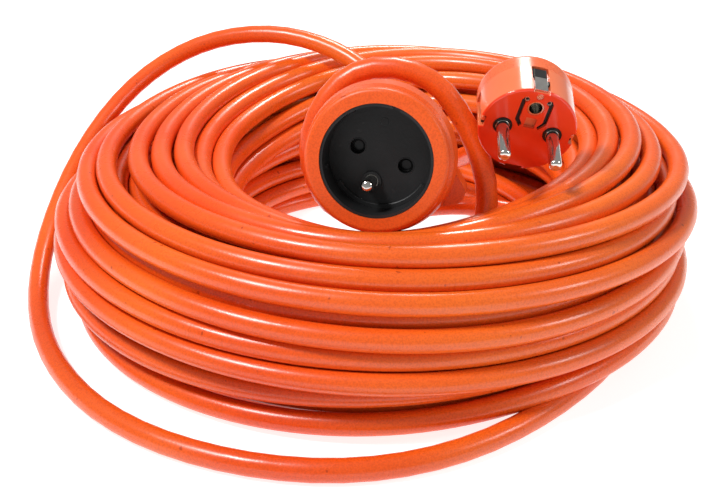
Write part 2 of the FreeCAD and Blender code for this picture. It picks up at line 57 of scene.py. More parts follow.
def add_camera():
    data = bpy.data.cameras.new("camera")
    data.lens = LENS
    data.sensor_width = 36.0
    data.clip_start = 0.01
    camera = bpy.data.objects.new("camera", data)
    bpy.context.collection.objects.link(camera)
    camera.location = Vector(CAMERA_AT) * MM
    camera.rotation_euler = (math.radians(90 - CAMERA_TILT), 0, 0)
    bpy.context.scene.camera = camera


add_camera()

# ---------------------------------------------------------------- the cord
# All lengths here are in mm.
CORD = 8.5  # thickness
CENTRE = (5.9, 9.3)  # the coil's axis
SECTIONS = 36  # radial planes in which each turn has one point
STEP = 2 * math.pi / SECTIONS
RING = 200  # points of one section's closed outline

# the route where the cord isn't coiled, as in the CAD part
SOCKET_LEAD = [
    (19.9, 9.7, 64.7), (26, 47, 55), (14, 74, 64), (-10, 94, 77), (-44, 110, 81),
    (-80, 107, 76), (-110, 84, 62), (-131, 51, 39), (-140.5, 10, 14), (-134, -37, 4.25),
    (-115, -82, 4.25), (-86, -117, 4.25), (-47, -138.5, 4.25), (-4, -145.5, 4.25),
    (37, -134, 4.25), (75, -104, 4.25), (104, -66, 4.25), (118, -24, 8),
]
NECK_LOOP = [
    (86, -16, 28), (77, 11, 26), (50, 18, 28), (24, 3, 33), (2, -20, 38),
    (-14, -33, 52), (-21.5, -31, 79), (-4, -23, 105.5), (28, -29, 106), (46, -38, 81),
    (52.5, -47, 53), (37, -66, 32), (0, -71, 29), (-36, -63, 29),
]
PLUG_LEAD = [
    (56.3, 4.7, 63.8), (52, 33, 45.5), (38, 60, 30), (12, 80, 23), (-24, 88, 24),
]

# Outline of the coil's section as (radius, height) of the cords' centres, from
# the outer foot up, over the crest, down the inner wall and back along the floor.
OUTLINES = {
    -90: [(129, 4.3), (131, 13), (133, 24), (132, 34), (130, 43), (126, 53), (120, 60),
          (113, 65.5), (106, 68), (98, 69), (90, 68), (84, 62), (81, 53), (79, 43), (78, 33),
          (76, 23), (74, 13), (73, 4.3)],
    -45: [(126, 4.3), (131, 13), (133.5, 24), (133.5, 35), (131, 45), (127, 54), (120, 62),
          (112, 67), (103, 69.5), (94, 69), (87, 63), (84, 54), (82, 44), (80, 34), (78, 24),
          (76, 14), (74, 4.3)],
    0: [(124, 4.3), (129, 13), (132, 24), (132, 36), (130, 47), (126, 57), (118, 65),
        (109, 69.5), (99, 70), (92, 63), (88, 53), (85, 43), (82, 33), (80, 23), (77, 13),
        (75, 4.3)],
    90: [(122, 4.3), (129, 13), (133, 24), (133, 36), (131, 48), (126, 59), (117, 68),
         (107, 71), (97, 68), (90, 59), (86, 50), (84, 41), (81, 32), (78, 22), (76, 13),
         (75, 4.3)],
    135: [(122, 4.3), (129, 13), (132, 24), (132, 35), (130, 46), (123, 55), (114, 60),
          (104, 62), (94, 62), (84, 59), (78, 51), (75, 41), (73, 32), (71, 22), (70, 13),
          (71, 4.3)],
    180: [(123, 4.3), (130, 13), (133, 24), (132, 34), (128, 44), (120, 52), (110, 56),
          (99, 57), (87, 57), (76, 57), (66, 58), (57, 56), (56, 46), (60, 33), (63, 18),
          (66, 4.3)],
    225: [(130, 4.3), (131, 13), (133, 24), (133, 34), (129, 45), (122, 54), (114, 61),
          (105, 65), (95, 65), (84, 64), (75, 62), (69, 54), (69, 43), (69, 31), (69, 17),
          (70, 4.3)],
}

# The turns of the surface, from the outer foot up, over the crest and down
# inside.  For each, how far along the outline it lies and how far it stands
# out from it, in mm, at these angles on its way round.
TURN_ANGLES = (130, 150, 180, 215, 250, 270, 290, 315, 340, 360, 400, 440)
TURN_START = 120
TURNS = [
    ((0, 0, 0, 0, 0, 0, 1, 4, 4, 2, 1, 1), (0, 0, 0, 0, 0, 0, 0, -2.5, -3, -3, -2, -1)),
    ((8, 10, 14, 12, 11, 13, 14, 14, 13, 11, 9, 8),
     (-2, -1, 0, 0, -1, -5.5, -6, -6, -5, -4, -3, -2)),
    ((18, 23, 29, 26, 23, 21, 20, 20, 20, 18, 16, 15), (0, 0, 0, 0, 0, 0, 0, 0.5, -2, -5, -3, -1)),
    ((27, 34, 42, 36, 33, 30, 28, 28, 28, 26, 25, 25),
     (-2, -1, -1, 0, -1.5, -5, -5.5, -6, -6, -6, -3, -2)),
    ((37, 42, 49, 47, 41, 36, 34.5, 34, 32, 29, 31, 33),
     (-2, -4, -7, -3, 0, 0.5, 0.5, 0.5, -4, -8, -4, -1)),
    ((45, 48, 54, 52, 46, 44, 42, 41, 39, 38, 40, 42),
     (-5, -8, -10, -9, -6, -5.5, -5, -5, -7, -9, -5, -3)),
    ((52, 54, 57, 55, 51, 50, 50, 48, 40, 31, 38, 46), (0, 0, 0, 0, 0.5, 1, 0.5, 0.5, 1, 3, 2, 0)),
    ((61, 63, 66, 67, 59, 57, 58, 54, 50, 47, 50, 55),
     (-1, -1, 0, 0, 0, 0, 0, -1, -5, -8, -4, -1)),
    ((72, 76, 80, 82, 70, 64, 66, 62, 53, 45, 52, 62), (0, 0, 0, 0, 0, 0, 0, 0.5, 1, 3, 2, 0)),
    ((82, 86, 90, 92, 78, 73, 73, 72, 66, 60, 64, 72), (0, 0, 0, 0, 0, 0, 0, 0, -1, -3, -2, 0)),
    ((90, 96, 101, 103, 87, 97, 83, 82, 77, 73, 75, 80), (0, 0, 0, 0, 0, -1, 0, 0, 0, 0, 0, 0)),
    ((99, 105, 111, 112, 96, 104, 92, 91, 88, 84, 84, 88),
     (-2, -3, -4, -4, -2, 0, -3, -3, -2, -1, 0, 0)),
    ((108, 114, 121, 119, 101, 112, 100, 99, 96, 93, 93, 98),
     (0, 0, 0, 0, 0, 0, 0, 0, 0, 0, 0, 0)),
    ((120, 126, 132, 130, 118, 122, 112, 110, 107, 105, 105, 110),
     (0, 0, 0, 0, -1, 0, 0, 0, 0, 0, 0, 0)),
    ((128, 134, 140, 138, 128, 131, 124, 122, 120, 118, 118, 121),
     (0, 0, 0, 0, 0, 0, 0, 0, 0, 0, 0, 0)),
    ((131, 136, 143, 140), (0, 0, 0, 0)),
]

# The length from the coupler's end: whole turns, where along the outline it
# starts, and the share of the outline from one turn to the next.
TURNS_A = 8
START_A = 0.975
STEP_S = 0.0395
FIRST_SECTION_A = -1
# The length from the plug's end: whole turns and sections past them, of which
# the first INNER_B lie inside the coil, on an outline shrunk to CORE_SCALE.
TURNS_B = 27
EXTRA_B = 12
INNER_B = 11.0
INNER_START_B = 0.66
CORE_SCALE, CORE_GROWTH = 0.64, 0.36
# How the turns wander from their wanted places, in mm.
WANDER_OUT, WANDER_ALONG, WANDER_IN = 1.1, 1.6, 0.4
SURFACE_LOOSE = 0.35  # share of that for the surface's turns
WANDER_SEED = 11
# How the turns settle: shares of each fault that one step removes.
SETTLE_STEPS = 520
STRAIGHTEN, FAIR = 0.18, 0.25
PULL_EARLY, PULL_LATE = 0.05, 0.012
PUSH_APART = 0.42
PITCH = CORD * 1.012  # wanted distance between turns
SOLID_GAP = 0.4
LONGEST_MOVE = 3
CHECK_SOLIDS_EVERY = 4
GROW = 1.0038  # a NURBS curve runs just inside its control points


def outlines_by_section():
    """Closed outline of even points for each section's angle."""
    angles = sorted(OUTLINES)
    closed = []
    for angle in angles:
        points = np.array(OUTLINES[angle] + [OUTLINES[angle][0]], float)
        run = np.r_[0, np.cumsum(np.linalg.norm(np.diff(points, axis=0), axis=1))]
        at = np.linspace(0, run[-1], RING + 1)[:-1]
        closed.append(np.stack([np.interp(at, run, points[:, i]) for i in (0, 1)], 1))
    angles = np.array([angles[-1] - 360] + angles + [angles[0] + 360], float)
    closed = np.array([closed[-1]] + closed + [closed[0]])
    made = []
    for section in range(SECTIONS):
        angle = math.degrees(section * STEP)
        angle = angle - 360 if angle > max(OUTLINES) else angle
        index = int(np.clip(np.searchsorted(angles, angle, "right") - 1, 0, len(angles) - 2))
        part = (angle - angles[index]) / (angles[index + 1] - angles[index])
        part = part * part * (3 - 2 * part)
        made.append(closed[index] * (1 - part) + closed[index + 1] * part)
    return np.array(made)


def slow_noise(rng, count, period):
    """Smooth noise of about unit size, with bumps about a period long."""
    knots = rng.normal(0, 1, count // period + 4)
    at = np.arange(count) / period + 1
    low = np.floor(at).astype(int)
    part = at - low
    part = part * part * (3 - 2 * part)
    return knots[low] * (1 - part) + knots[low + 1] * part


def surface_run(turns_past):
    """Distance along the outline and outwards, for turns past the first start."""
    knots, along, out = [], [], []
    for number, (places, stands) in enumerate(TURNS):
        for angle, place, stand in zip(TURN_ANGLES, places, stands):
            knots.append(number + (angle - TURN_START) / 360)
            along.append(place)
            out.append(stand)
    window = np.array((1, 3, 4, 3, 1)) / 12
    smooth = []
    for values in (along, out):
        fine = np.interp(turns_past, knots, values)
        padded = np.r_[[fine[0]] * 2, fine, [fine[-1]] * 2]
        smooth.append(np.convolve(padded, window, "valid"))
    return smooth


def chains(outline):
    """Target section positions of the coil's two lengths, as the cord runs."""
    rng = np.random.default_rng(WANDER_SEED)
    perimeter = np.linalg.norm(np.diff(outline[:, list(range(RING)) + [0]], axis=1),
                               axis=2).sum(1)
    count_a = TURNS_A * SECTIONS + FIRST_SECTION_A
    count_b = TURNS_B * SECTIONS + EXTRA_B
    section_a = (np.arange(count_a) + FIRST_SECTION_A) % SECTIONS
    section_b = (np.arange(count_b) + EXTRA_B) % SECTIONS
    turn_a = np.arange(count_a) / SECTIONS
    turn_b = np.arange(count_b) / SECTIONS
    s_a = START_A - STEP_S * turn_a
    rise = np.clip(turn_b - INNER_B, 0, 1)
    rise = rise * rise * (3 - 2 * rise)
    inside = turn_b < INNER_B + 1
    s_inner = np.maximum(INNER_START_B - turn_b * (INNER_START_B / INNER_B), 0.0)
    along_b, out_b = surface_run(turn_b - INNER_B - 1)
    s_b = np.where(inside, s_inner, along_b / perimeter[section_b])
    out_b = np.where(inside, 0, out_b)
    scale_b = CORE_SCALE + CORE_GROWTH * rise
    loose_b = np.where(inside, 1.0, SURFACE_LOOSE)
    result = []
    for section, s, scale, out, loose in (
            (section_a, s_a, np.ones(count_a), 0, np.ones(count_a)),
            (section_b, s_b, scale_b, out_b, loose_b)):
        count = len(s)
        where = (s % 1.0) * RING
        low = np.floor(where).astype(int)
        part = (where - low)[:, None]
        rim = (outline[section, low % RING] * (1 - part)
               + outline[section, (low + 1) % RING] * part)
        along = outline[section, (low + 5) % RING] - outline[section, (low - 4) % RING]
        along /= np.linalg.norm(along, axis=1)[:, None]
        outward = np.stack([along[:, 1], -along[:, 0]], 1)
        middle = outline[section].mean(axis=1)
        place = middle + (rim - middle) * scale[:, None]
        out_by = out + (WANDER_OUT * slow_noise(rng, count, 14) - WANDER_IN) * loose
        along_by = WANDER_ALONG * slow_noise(rng, count, 17) * loose
        place = place + outward * out_by[:, None] + along * along_by[:, None]
        result.append((section, place))
    return result


# things that the coil lies clear of: (a point on the axis, the other end, radius)
SOCKET_FACE = np.array((6.6, -74.4, 86.7))
SOCKET_AXIS = np.array((-0.151452, -0.956228, 0.25038))
PLUG_FACE = np.array((62.8, -52.6, 90.2))
PLUG_AXIS = np.array((-0.050309, -0.959944, -0.275637))
SOLIDS = [
    (SOCKET_FACE + SOCKET_AXIS, SOCKET_FACE - SOCKET_AXIS * 6, 26.3),
    (SOCKET_FACE - SOCKET_AXIS * 6, SOCKET_FACE - SOCKET_AXIS * 28, 28.6),
    (SOCKET_FACE - SOCKET_AXIS * 28, SOCKET_FACE - SOCKET_AXIS * 42, 25.0),
    (SOCKET_FACE - SOCKET_AXIS * 42, SOCKET_FACE - SOCKET_AXIS * 60, 15.0),
    (SOCKET_FACE - SOCKET_AXIS * 58, SOCKET_FACE - SOCKET_AXIS * 90, 8.3),
    (PLUG_FACE + PLUG_AXIS, PLUG_FACE - PLUG_AXIS * 27, 18.5),
    (np.array((62.1, -42.0, 90.6)), np.array((56.5, 4.0, 64.5)), 9.5),
]


def lead_samples():
    """Points every few millimetres along the cord where it isn't coiled."""
    made = []
    for points, first, last in ((SOCKET_LEAD, 0, 7), (SOCKET_LEAD, 6, 16), (NECK_LOOP, 1, 12),
                                (PLUG_LEAD, 0, 4)):
        control = np.array(points[first:last + 1], float)
        for p0, p1, p2 in zip(control, control[1:], control[2:]):
            start, stop = (p0 + p1) / 2, (p1 + p2) / 2
            for t in np.linspace(0, 1, 9)[:-1]:
                made.append(start * (1 - t) ** 2 + p1 * 2 * t * (1 - t) + stop * t * t)
    return np.array(made)


def settle(outline):
    """The chains' places once no two turns share a space."""
    targets = chains(outline)
    section = np.concatenate([part[0] for part in targets])
    place = np.concatenate([part[1] for part in targets])
    target = place.copy()
    size_a = len(targets[0][0])
    total = len(section)
    angle = section * STEP
    ray = np.stack([np.cos(angle), np.sin(angle)], 1)
    slots = [np.flatnonzero(section == index) for index in range(SECTIONS)]
    rows = max(len(found) for found in slots)
    table = np.full((SECTIONS, rows), -1)
    for index, found in enumerate(slots):
        table[index, :len(found)] = found
    used = table >= 0
    pair_ok = used[:, :, None] & used[:, None, :] & ~np.eye(rows, dtype=bool)[None]
    obstacles = lead_samples()
    for step in range(SETTLE_STEPS):
        late = step / SETTLE_STEPS
        # neighbours along the cord
        for low, high in ((0, size_a), (size_a, total)):
            run = place[low:high]
            bend = np.zeros_like(run)
            bend[1:-1] = (run[:-2] + run[2:]) / 2 - run[1:-1]
            fair = np.zeros_like(run)
            fair[2:-2] = (bend[1:-3] + bend[3:-1]) / 2 - bend[2:-2]
            place[low:high] = run + STRAIGHTEN * bend - FAIR * fair
        # towards the wanted place
        place += (PULL_EARLY * (1 - late) + PULL_LATE) * (target - place)
        # apart from the other turns
        spots = place[np.where(used, table, 0)]
        gap = spots[:, :, None] - spots[:, None, :]
        far = np.sqrt((gap ** 2).sum(-1)) + 1e-6
        push = np.where(pair_ok & (far < PITCH), (PITCH - far) / far, 0)
        shift = (gap * push[..., None]).sum(2) * PUSH_APART
        flat = np.zeros_like(place)
        np.add.at(flat, table[used], shift[used])
        place += flat
        # apart from the coupler, the plug and the uncoiled cord
        if step % CHECK_SOLIDS_EVERY == 0:
            spot = np.column_stack([CENTRE[0] + place[:, 0] * ray[:, 0],
                                    CENTRE[1] + place[:, 0] * ray[:, 1], place[:, 1]])
            move = np.zeros_like(spot)
            for start, stop, radius in SOLIDS:
                line = stop - start
                part = np.clip(((spot - start) @ line) / (line @ line), 0, 1)
                away = spot - (start + part[:, None] * line)
                far = np.linalg.norm(away, axis=1)
                short = np.clip(radius + CORD / 2 + SOLID_GAP - far, 0, LONGEST_MOVE)
                move += away / far[:, None] * short[:, None]
            away = spot[:, None] - obstacles[None]
            far = np.linalg.norm(away, axis=2)
            short = np.clip(PITCH - far, 0, LONGEST_MOVE)
            best = short.argmax(axis=1)
            pick = np.arange(total)
            move += away[pick, best] / far[pick, best][:, None] * short[pick, best][:, None]
            place[:, 0] += (move[:, :2] * ray).sum(1)
            place[:, 1] += move[:, 2]
        place[:, 1] = np.maximum(place[:, 1], CORD / 2)
    spot = np.column_stack([CENTRE[0] + place[:, 0] * ray[:, 0] * GROW,
                            CENTRE[1] + place[:, 0] * ray[:, 1] * GROW, place[:, 1]])
    return spot[:size_a], spot[size_a:]


def cord_curve(name, points, diameter):
    """A round cord on one open NURBS spline."""
    data = bpy.data.curves.new(name, "CURVE")
    data.dimensions = "3D"
    spline = data.splines.new("NURBS")
    spline.points.add(len(points) - 1)
    for point, place in zip(spline.points, points):
        point.co = (place[0] * MM, place[1] * MM, place[2] * MM, 1)
        point.radius = diameter / 2 * MM
    spline.order_u = 3
    spline.use_endpoint_u = True
    data.resolution_u = 4
    data.bevel_depth = 1.0
    data.bevel_resolution = 5
    data.use_fill_caps = True
    made = bpy.data.objects.new(name, data)
    bpy.context.collection.objects.link(made)
    return made


coil_a, coil_b = settle(outlines_by_section())
cord_points = np.concatenate([np.array(SOCKET_LEAD), coil_a, np.array(NECK_LOOP),
                              coil_b[::-1], np.array(PLUG_LEAD)[::-1]])
cord = cord_curve("cord", cord_points, CORD)
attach(cord, ROOT)
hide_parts("cord_coil", "cord_socket_lead", "cord_neck_loop", "cord_plug_lead")


# ---------------------------------------------------------------- details
def face_frame(place, turn, lift, roll):
    """Own frame of the coupler or the plug: +Z leaves its face, +Y is its top."""
    return (Matrix.Translation(Vector(place) * MM)
            @ Matrix.Rotation(math.radians(turn), 4, "Z")
            @ Matrix.Rotation(math.radians(90 - lift), 4, "X")
            @ Matrix.Rotation(math.radians(roll), 4, "Z"))


SOCKET_FRAME = face_frame(SOCKET_FACE, -9, 14.5, -19)
PLUG_FRAME = face_frame(PLUG_FACE, -3, -16, -13)
PIECES = {}  # each mesh piece's look

# The parts' own sizes, in mm, in the coupler's or the plug's frame.
POLE = 9.5  # middle to a line pin or hole
EARTH = 10  # middle to the earth pin
PIN_RADIUS = 2.4
RECESS_FLOOR = -15.58
SLOT_FLOOR = -1.98
SPRING_LOW, SPRING_HIGH, SPRING_DEPTH = 5.5, 18.5, -22.35


def piece(name, frame_of, build, look, bevel=0.0):
    """A mesh piece drawn in mm in its frame, on the cord set's body."""
    mesh = bmesh.new()
    build(mesh)
    bmesh.ops.remove_doubles(mesh, verts=mesh.verts, dist=1e-4)
    bmesh.ops.recalc_face_normals(mesh, faces=mesh.faces)
    mesh.transform(frame_of @ Matrix.Diagonal((MM, MM, MM, 1)))
    data = bpy.data.meshes.new(name)
    mesh.to_mesh(data)
    mesh.free()
    made = bpy.data.objects.new(name, data)
    bpy.context.collection.objects.link(made)
    if bevel:
        edge = made.modifiers.new("edges", "BEVEL")
        edge.width = bevel * MM
        edge.segments = 3
        edge.limit_method = "ANGLE"
        edge.angle_limit = math.radians(40)
    for polygon in data.polygons:
        polygon.use_smooth = True
    data.set_sharp_from_angle(angle=math.radians(38))
    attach(made, ROOT)
    PIECES[name] = look
    return made


def slab(mesh, outline, low, high):
    """A prism between two heights over an outline of (x, y)."""
    floor_ring = [mesh.verts.new((x, y, low)) for x, y in outline]
    roof_ring = [mesh.verts.new((x, y, high)) for x, y in outline]
    mesh.faces.new(floor_ring[::-1])
    mesh.faces.new(roof_ring)
    for index in range(len(outline)):
        after = (index + 1) % len(outline)
        mesh.faces.new((floor_ring[index], floor_ring[after],
                        roof_ring[after], roof_ring[index]))


def turned(mesh, profile, x=0.0, y=0.0, around=72, start=0.0, stop=360.0):
    """A profile of (radius, height) turned about +Z, or part of the way round."""
    whole = stop - start >= 360
    count = around if whole else max(4, int(around * (stop - start) / 360))
    rings = []
    for index in range(count if whole else count + 1):
        angle = math.radians(start + (stop - start) * index / count)
        rings.append([mesh.verts.new((x + r * math.cos(angle), y + r * math.sin(angle), z))
                      for r, z in profile])
    for index in range(count):
        one, two = rings[index], rings[(index + 1) % len(rings)]
        for low in range(len(profile) - 1):
            mesh.faces.new((one[low], two[low], two[low + 1], one[low + 1]))
        if not whole:
            mesh.faces.new((one[-1], two[-1], two[0], one[0]))
    if not whole:
        mesh.faces.new(rings[0])
        mesh.faces.new(rings[-1][::-1])


def rounded_pin(radius, low, high, nose, root, root_top):
    """Profile of a pin with a round nose and a thicker root."""
    profile = [(0.001, low), (root - 0.15, low), (root, low + 0.15), (root, root_top - 0.12),
               (root - 0.08, root_top), (radius, root_top)]
    for step in range(9):
        angle = math.pi / 2 * step / 8
        profile.append((radius - nose + nose * math.cos(angle),
                        high - nose + nose * math.sin(angle)))
    profile.append((0.001, high))
    return profile


def slot_outline(side, inset):
    """Hooked slot of the plug's face, drawn in a little from its walls."""
    points = [(4.4 + inset, 13.9), (6 - inset, 13.2 - inset), (6 - inset, 3.8 + inset * 0.4),
              (3.7 + inset * 0.3, 0.9 + inset * 1.4), (2.8 + inset * 1.4, 2.0),
              (4.4 + inset, 4.5 - inset * 0.4)]
    return [(side * x, y) for x, y in points][::side]


def plug_slots(mesh):
    """Near-black floor of each hooked slot, and the stud at its top end: painted shade in the slot
    and down the tube.
    """
    for side in (1, -1):
        slab(mesh, slot_outline(side, 0.08), SLOT_FLOOR, -1.15)
        turned(mesh, [(0.001, SLOT_FLOOR), (0.5, SLOT_FLOOR), (0.5, -1.4), (0.001, -1.4)],
               side * 4.0, 13.2, 20)


def slot_contacts(mesh):
    """Small metal tube at the top end of each slot."""
    for side in (1, -1):
        turned(mesh, [(0.62, -1.9), (0.92, -1.9), (0.92, -0.5), (0.86, -0.42), (0.68, -0.42),
                      (0.62, -0.5), (0.62, -1.9)], side * 4.1, 13.25, 28)


def strip_window(mesh):
    """Near-black room behind the top earth strip, which is painted shade, and the nub beside the
    strip.
    """
    slab(mesh, [(-2.3, 17.35), (2.3, 17.35), (2.3, 17.75), (-2.3, 17.75)], -14.2, -9.2)
    slab(mesh, [(2.45, 16.85), (3.12, 16.85), (3.12, 18.0), (2.45, 18.0)], -6.9, -4.9)
    slab(mesh, [(-3.12, 16.85), (-2.45, 16.85), (-2.45, 17.5), (-3.12, 17.5)], -14.4, -9.2)


def guide_tongues(mesh):
    """Tongue in each side guide, set back from the face."""
    for side in (1, -1):
        slab(mesh, [(side * 16.35, -0.2), (side * 17.75, -0.2), (side * 17.75, 1.5),
                    (side * 16.35, 1.5)][::side], -14.6, -0.8)


def guide_gaps(mesh):
    """Near-black slab in the gap beside each tongue: painted shade."""
    for side in (1, -1):
        slab(mesh, [(side * 16.3, -1.7), (side * 17.3, -1.7), (side * 17.3, -0.35),
                    (side * 16.3, -0.35)][::side], -12, -1.6)


def recess_marks(mesh):
    """Low ledge round the recess's floor, gate marks and keys on its wall."""
    low = RECESS_FLOOR
    turned(mesh, [(17.6, low), (19.45, low), (19.45, low + 1.1), (18.0, low + 1.1),
                  (17.75, low + 0.9)], start=-128, stop=-12)
    turned(mesh, [(0.001, low), (1.5, low), (1.45, low + 0.14), (0.001, low + 0.14)],
           -3.6, 12.2, 30)
    for angle, depth in ((52, 5), (26, 6), (140, 7), (-150, 6)):
        turned(mesh, [(18.9, -depth - 2.6), (19.48, -depth - 2.6), (19.48, -depth),
                      (19.2, -depth), (18.9, -depth - 0.4)], start=angle - 1.8, stop=angle + 1.8)
    for x in (POLE, -POLE):
        turned(mesh, [(2.78, low), (3.25, low), (3.2, low + 0.14), (2.86, low + 0.16),
                      (2.78, low + 0.05)], x, 0, 48)


def line_sleeves(mesh):
    """Mouths of the line contacts' guide tubes, seen down the line holes, in the near-black that
    paints the holes' shade.
    """
    for x in (POLE, -POLE):
        turned(mesh, [(1.9, -18.4), (2.6, -18.4), (2.6, -17.3), (2.2, -17.2), (1.9, -17.5),
                      (1.9, -18.4)], x, 0, 40)


def spring_coil(mesh, turns=6, steps=24, around=10):
    """Compression spring between the shutter's edge and the chamber's wall."""
    radius, wire = 2.0, 0.25
    low, high = SPRING_LOW + wire, SPRING_HIGH - wire
    rings = []
    for step in range(turns * steps + 1):
        turn = 2 * math.pi * step / steps
        lift = low + (high - low) * step / (turns * steps)
        ring = []
        for side in range(around):
            bend = 2 * math.pi * side / around
            out = radius + wire * math.cos(bend)
            ring.append(mesh.verts.new((out * math.cos(turn), lift + wire * math.sin(bend),
                                        SPRING_DEPTH + out * math.sin(turn))))
        rings.append(ring)
    for one, two in zip(rings, rings[1:]):
        for side in range(around):
            after = (side + 1) % around
            mesh.faces.new((one[side], one[after], two[after], two[side]))
    mesh.faces.new(rings[0][::-1])
    mesh.faces.new(rings[-1])


def line_pin(mesh, x):
    turned(mesh, rounded_pin(PIN_RADIUS, -3.4, 19, 1.6, 2.6, 0.4), x, 0, 96)


def earth_pin(mesh):
    turned(mesh, rounded_pin(PIN_RADIUS, -18.5, -1.6, 1.9, 2.55, -14.5), 0, -EARTH, 96)


pin_live = piece("plug_pin_live", PLUG_FRAME, lambda mesh: line_pin(mesh, POLE),
                 "nickel")
pin_neutral = piece("plug_pin_neutral", PLUG_FRAME, lambda mesh: line_pin(mesh, -POLE),
                    "nickel")
pin_earth = piece("socket_pin_earth", SOCKET_FRAME, earth_pin, "nickel")
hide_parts("plug_live_pin")
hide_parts("plug_neutral_pin")
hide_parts("socket_earth_pin")

# what stays on the cord's far end
# painted shade: the slot floors, the strip's window, the guide gaps and the hole mouths are
# near-black pieces standing in for the shade in those hollows
piece("plug_slot_floors_painted_shade", PLUG_FRAME, plug_slots, "dark", 0.05)
piece("plug_slot_contacts", PLUG_FRAME, slot_contacts, "nickel")
piece("plug_strip_window_painted_shade", PLUG_FRAME, strip_window, "dark", 0.08)
piece("plug_guide_tongues", PLUG_FRAME, guide_tongues, "cap", 0.25)
piece("plug_guide_gaps_painted_shade", PLUG_FRAME, guide_gaps, "dark", 0.1)
piece("socket_recess_marks", SOCKET_FRAME, recess_marks, "black")
piece("socket_hole_mouths_painted_shade", SOCKET_FRAME, line_sleeves, "dark")
spring = piece("socket_spring", SOCKET_FRAME, spring_coil, "spring")
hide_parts("shutter_spring")
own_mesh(spring)


# ---------------------------------------------------------------- materials
class Finish:
    """A material's shader, and short ways to make the nodes that feed it."""

    def __init__(self, name, rough, metal=0.0, specular=0.5, coat=0.0):
        self.material = bpy.data.materials.new(name)
        self.material.use_nodes = True
        self.nodes = self.material.node_tree.nodes
        self.links = self.material.node_tree.links
        self.shader = self.nodes["Principled BSDF"]
        for socket, amount in (("Roughness", rough), ("Metallic", metal),
                               ("Specular IOR Level", specular), ("Coat Weight", coat),
                               ("Coat Roughness", 0.12)):
            self.shader.inputs[socket].default_value = amount
        self.place = self.nodes.new("ShaderNodeTexCoord").outputs["Object"]
        self.height = None

    def noise(self, scale, detail=3.0, stretch=None):
        node = self.nodes.new("ShaderNodeTexNoise")
        node.inputs["Scale"].default_value = scale
        node.inputs["Detail"].default_value = detail
        place = self.place
        if stretch:
            mapping = self.nodes.new("ShaderNodeMapping")
            mapping.inputs["Scale"].default_value = stretch
            self.links.new(place, mapping.inputs["Vector"])
            place = mapping.outputs["Vector"]
        self.links.new(place, node.inputs["Vector"])
        return node.outputs["Fac"]

    def ramp(self, value, *stops):
        node = self.nodes.new("ShaderNodeValToRGB")
        elements = node.color_ramp.elements
        for index, (at, colour) in enumerate(stops):
            element = elements[index] if index < 2 else elements.new(at)
            element.position = at
            element.color = (*colour, 1) if len(colour) == 3 else colour
        self.links.new(value, node.inputs["Fac"])
        return node.outputs["Color"]

    def mix(self, amount, low, high, blend="MIX"):
        node = self.nodes.new("ShaderNodeMix")
        node.data_type = "RGBA"
        node.blend_type = blend
        for socket, value in ((node.inputs[0], amount), (node.inputs[6], low),
                              (node.inputs[7], high)):
            if isinstance(value, bpy.types.NodeSocket):
                self.links.new(value, socket)
            elif isinstance(value, tuple):
                socket.default_value = (*value, 1)
            else:
                socket.default_value = value
        return node.outputs[2]

    def spread(self, value, low, high):
        """The value's middle part stretched over low to high."""
        node = self.nodes.new("ShaderNodeMapRange")
        node.inputs["From Min"].default_value = 0.3
        node.inputs["From Max"].default_value = 0.7
        node.inputs["To Min"].default_value = low
        node.inputs["To Max"].default_value = high
        self.links.new(value, node.inputs["Value"])
        return node.outputs["Result"]

    def bump(self, value, depth, strength=1.0):
        node = self.nodes.new("ShaderNodeBump")
        node.inputs["Strength"].default_value = strength
        node.inputs["Distance"].default_value = depth
        self.links.new(value, node.inputs["Height"])
        if self.height:
            self.links.new(self.height, node.inputs["Normal"])
        self.height = node.outputs["Normal"]
        self.links.new(self.height, self.shader.inputs["Normal"])

    def colour(self, value):
        if isinstance(value, tuple):
            self.shader.inputs["Base Color"].default_value = (*value, 1)
        else:
            self.links.new(value, self.shader.inputs["Base Color"])

    def rough(self, value):
        self.links.new(value, self.shader.inputs["Roughness"])


def soft_plastic(name, light, deep, rough, specular, pits=0.00006, coat=0.0):
    """Moulded or extruded plastic: slow changes of tone, fine speckle, scuffs."""
    finish = Finish(name, rough, specular=specular, coat=coat)
    tone = finish.mix(finish.spread(finish.noise(9, 2), 0.0, 1.0), deep, light)
    speckle = finish.ramp(finish.noise(1500, 2), (0.38, (0.86, 0.80, 0.78)), (0.56, (1, 1, 1)))
    tone = finish.mix(1.0, tone, speckle, "MULTIPLY")
    dirt = finish.ramp(finish.noise(330, 1), (0.765, (1, 1, 1)), (0.80, (0.45, 0.30, 0.26)))
    tone = finish.mix(0.7, tone, dirt, "MULTIPLY")
    finish.colour(tone)
    finish.rough(finish.spread(finish.noise(60, 4), rough - 0.05, rough + 0.08))
    finish.bump(finish.noise(1300, 3), pits, 0.55)
    finish.bump(finish.noise(120, 2), 0.00022, 0.35)
    return finish.material


CORD_LIGHT, CORD_DEEP = (0.88, 0.158, 0.014), (0.80, 0.070, 0.006)
jacket = soft_plastic("cord_jacket", CORD_LIGHT, CORD_DEEP, 0.27, 0.55)
cord.data.materials.append(jacket)


